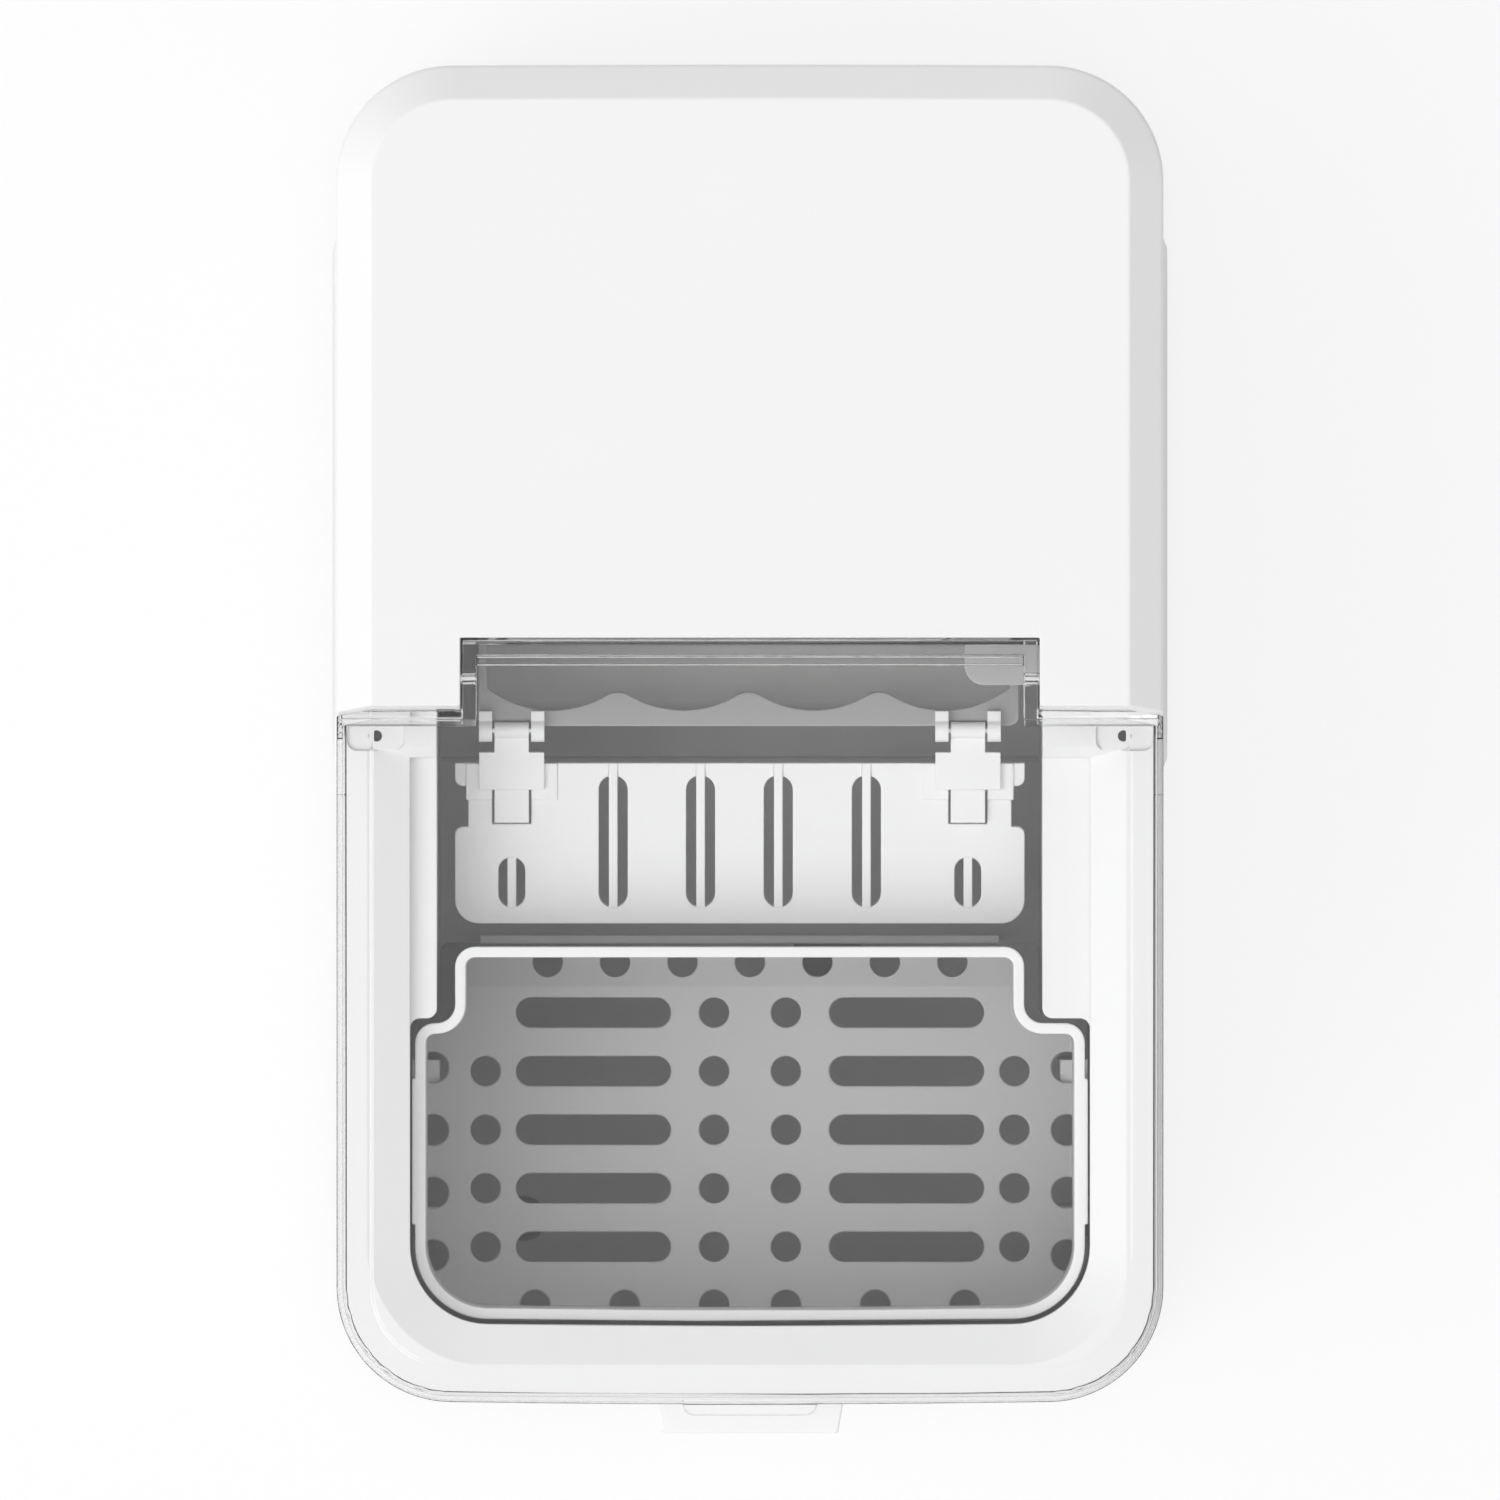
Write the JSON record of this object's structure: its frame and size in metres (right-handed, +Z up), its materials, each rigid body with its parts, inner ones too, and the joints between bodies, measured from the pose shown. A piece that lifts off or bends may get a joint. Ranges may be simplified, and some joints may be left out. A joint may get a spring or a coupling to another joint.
{
  "type": "countertop ice maker",
  "caption": "Portable countertop ice maker with a clear hinged lid, lift-out ice basket, swinging water tray, ice shovel and a compressor-driven cooling circuit.",
  "frame": {"origin": "on the resting surface, under the middle of the bounding box", "axes": "+Z up, -Y towards the front with the control pod, +X to the right seen from the front"},
  "size_m": [0.2262, 0.3686, 0.32],
  "materials": {
    "casing_white": "satin moulded plastic with a fine grain",
    "deck_white": "satin moulded plastic",
    "lid_clear": "clear polished plastic",
    "hinge_steel": "bright pins",
    "screw_steel": "plated",
    "base_steel": "zinc-coated sheet",
    "foot_rubber": "matt",
    "tank_grey": "matt grey",
    "foam": "foam insulation",
    "tray_grey": "satin grey",
    "basket_white": "satin translucent white",
    "shovel_white": "satin white",
    "spout_white": "satin white",
    "drain_grey": "matt grey",
    "dark_plastic": "matt black",
    "lens_smoke": "smoked window",
    "button_grey": "satin grey",
    "board_green": "circuit board",
    "motor_steel": "plated",
    "pump_grey": "matt",
    "compressor_black": "black paint",
    "fin_aluminium": "plain",
    "copper": "copper tube",
    "valve_brass": "brass",
    "evaporator_plate": "nickel plated",
    "hose_silicone": "milky silicone"
  },
  "bodies": {
    "casing": {"base_pan": "base_steel", "feet": "foot_rubber", "base_screws": "screw_steel", "front_housing": "casing_white", "rear_housing": "casing_white", "top_cover": "casing_white", "deck": "deck_white", "deck_screws": "screw_steel", "lid_pins": "hinge_steel", "water_tank": "tank_grey", "tank_insulation": "foam", "drain_outlet": "drain_grey", "level_probes": "screw_steel", "ice_sensors": "dark_plastic", "tray_bushes": "spout_white", "tray_motor": "motor_steel", "evaporator": "evaporator_plate", "evaporator_bar": "dark_plastic", "water_spout": "spout_white", "control_pod": "casing_white", "indicator_lens": "lens_smoke", "control_board": "board_green", "side_grille_left": "casing_white", "side_grille_right": "casing_white", "rear_grille": "dark_plastic", "power_inlet": "dark_plastic", "power_board": "board_green", "board_spacers": "dark_plastic", "compressor": "compressor_black", "compressor_grommets": "foot_rubber", "terminal_cover": "dark_plastic", "condenser_fins": "fin_aluminium", "condenser_tube": "copper", "condenser_frame": "fin_aluminium", "fan_frame": "dark_plastic", "fan_motor": "motor_steel", "suction_line": "copper", "discharge_line": "copper", "hot_gas_valve": "valve_brass", "hot_gas_line": "copper", "liquid_line": "copper", "filter_drier": "copper", "capillary": "copper", "water_pump": "pump_grey", "pump_inlet_hose": "hose_silicone", "water_hose": "hose_silicone"},
    "lid": {"lid": "lid_clear"},
    "tray": {"swing_tray": "tray_grey", "tray_ears": "shovel_white", "hinge_pins": "hinge_steel"},
    "shovel": {"shovel": "shovel_white", "hinge_bracket_left": "shovel_white", "hinge_bracket_right": "shovel_white"},
    "basket": {"ice_basket": "basket_white"},
    "fan": {"fan_rotor": "dark_plastic"},
    "drain_cap": {"drain_cap": "drain_grey"},
    "power_button": {"power_button": "button_grey"},
    "select_button": {"select_button": "button_grey"},
    "clean_button": {"clean_button": "button_grey"}
  },
  "joints": [
    {"name": "lid_hinge", "type": "hinge", "parent": "casing", "child": "lid", "pos_m": [0, 0.0192, 0.315], "axis": [-1, 0, 0], "range_deg": [0, 95]},
    {"name": "tray_swing", "type": "hinge", "parent": "casing", "child": "tray", "pos_m": [0, 0.046, 0.262], "axis": [1, 0, 0], "range_deg": [0, 50]},
    {"name": "shovel_swing", "type": "hinge", "parent": "tray", "child": "shovel", "pos_m": [-0.00275, 0.0054, 0.2666], "axis": [1, 0, 0], "range_deg": [-50, 0]},
    {"name": "fan_spin", "type": "hinge", "parent": "casing", "child": "fan", "pos_m": [0.0688, 0.076, 0.097], "axis": [1, 0, 0], "continuous": true},
    {"name": "basket_lift", "type": "slide", "parent": "casing", "child": "basket", "axis": [0, 0, 1], "range_m": [0, 0.028]},
    {"name": "drain_cap_turn", "type": "hinge", "parent": "casing", "child": "drain_cap", "pos_m": [-0.062, -0.128, 0.006], "axis": [0, 0, 1], "range_deg": [0, 180]},
    {"name": "power_button_press", "type": "slide", "parent": "casing", "child": "power_button", "axis": [0, 1, 0], "range_m": [0, 0.001], "stiffness_N_per_m": 400},
    {"name": "select_button_press", "type": "slide", "parent": "casing", "child": "select_button", "axis": [0, 1, 0], "range_m": [0, 0.001], "stiffness_N_per_m": 400},
    {"name": "clean_button_press", "type": "slide", "parent": "casing", "child": "clean_button", "axis": [0, 1, 0], "range_m": [0, 0.001], "stiffness_N_per_m": 400}
  ],
  "couplings": [
    {"joint": "shovel_swing", "follows": "tray_swing", "ratio": -1}
  ]
}
